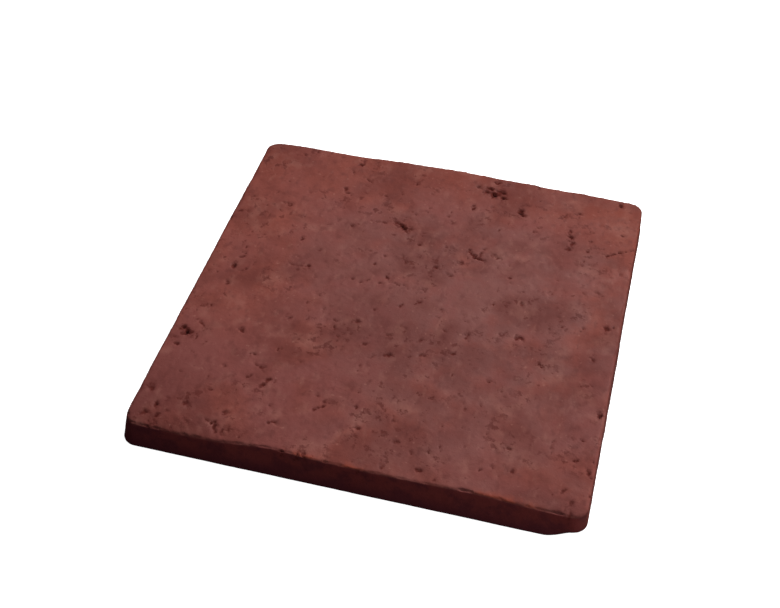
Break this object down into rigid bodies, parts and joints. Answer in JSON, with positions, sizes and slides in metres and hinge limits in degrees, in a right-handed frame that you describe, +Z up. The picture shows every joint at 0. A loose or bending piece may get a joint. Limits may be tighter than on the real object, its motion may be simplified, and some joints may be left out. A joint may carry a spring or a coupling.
{
  "type": "clay roof brick",
  "caption": "Flat square tile of fired red clay with rounded edges and leaning walls, laid flat as a roof covering or paving layer.",
  "frame": {"origin": "centre of the bed, the flat underside that the tile lies on", "axes": "+Z up out of the top face, +X along the front wall to its right end, +Y from the front wall to the back wall"},
  "size_m": [0.2326, 0.232, 0.02],
  "materials": {
    "fired_clay": "matte"
  },
  "bodies": {
    "root": {"roof_brick": "fired_clay"}
  },
  "joints": []
}
